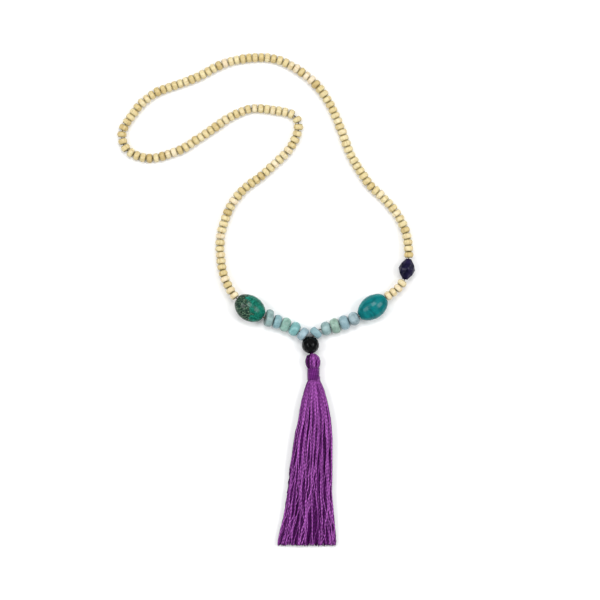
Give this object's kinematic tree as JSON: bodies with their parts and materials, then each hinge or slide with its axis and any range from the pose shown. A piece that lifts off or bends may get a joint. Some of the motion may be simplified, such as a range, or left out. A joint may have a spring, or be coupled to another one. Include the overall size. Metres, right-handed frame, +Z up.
{
  "type": "tassel necklace",
  "caption": "Long loop of small wood beads with polished stone nuggets, frosted rondelles and a black ball from which a silk tassel hangs",
  "frame": {"origin": "middle of the footprint of the necklace as it lies, on the table's surface", "axes": "+Y from the tassel's cut end towards the top of the loop, +X to the turquoise stone's side, +Z up from the table"},
  "size_m": [0.1682, 0.2793, 0.0124],
  "materials": {
    "wood": "pale sanded wood, uncoated, cream to tan from bead to bead",
    "thread": "dark waxed stringing thread",
    "purple_stone": "very dark purple faceted stone, polished",
    "green_stone": "polished green stone with a dark speckled matrix",
    "teal_stone": "polished teal stone",
    "black_stone": "black faceted stone, polished",
    "frosted_stone": "pale blue-green stone with a frosted surface",
    "silk": "purple silk strands with a soft sheen",
    "silk_thread": "purple silk thread, wound tight",
    "silk_cord": "dark purple twisted silk cord"
  },
  "bodies": {
    "root": {"wood_beads": "wood", "thread": "thread", "purple_bead": "purple_stone", "green_stone": "green_stone", "turquoise_stone": "teal_stone", "black_ball": "black_stone", "rondelle_l1": "frosted_stone", "rondelle_l2": "frosted_stone", "rondelle_l3": "frosted_stone", "rondelle_l4": "frosted_stone", "rondelle_l5": "frosted_stone", "rondelle_r1": "frosted_stone", "rondelle_r2": "frosted_stone", "rondelle_r3": "frosted_stone", "rondelle_r4": "frosted_stone", "rondelle_r5": "frosted_stone", "tassel": "silk", "tassel_binding": "silk_thread", "tassel_cord": "silk_cord"}
  },
  "joints": []
}
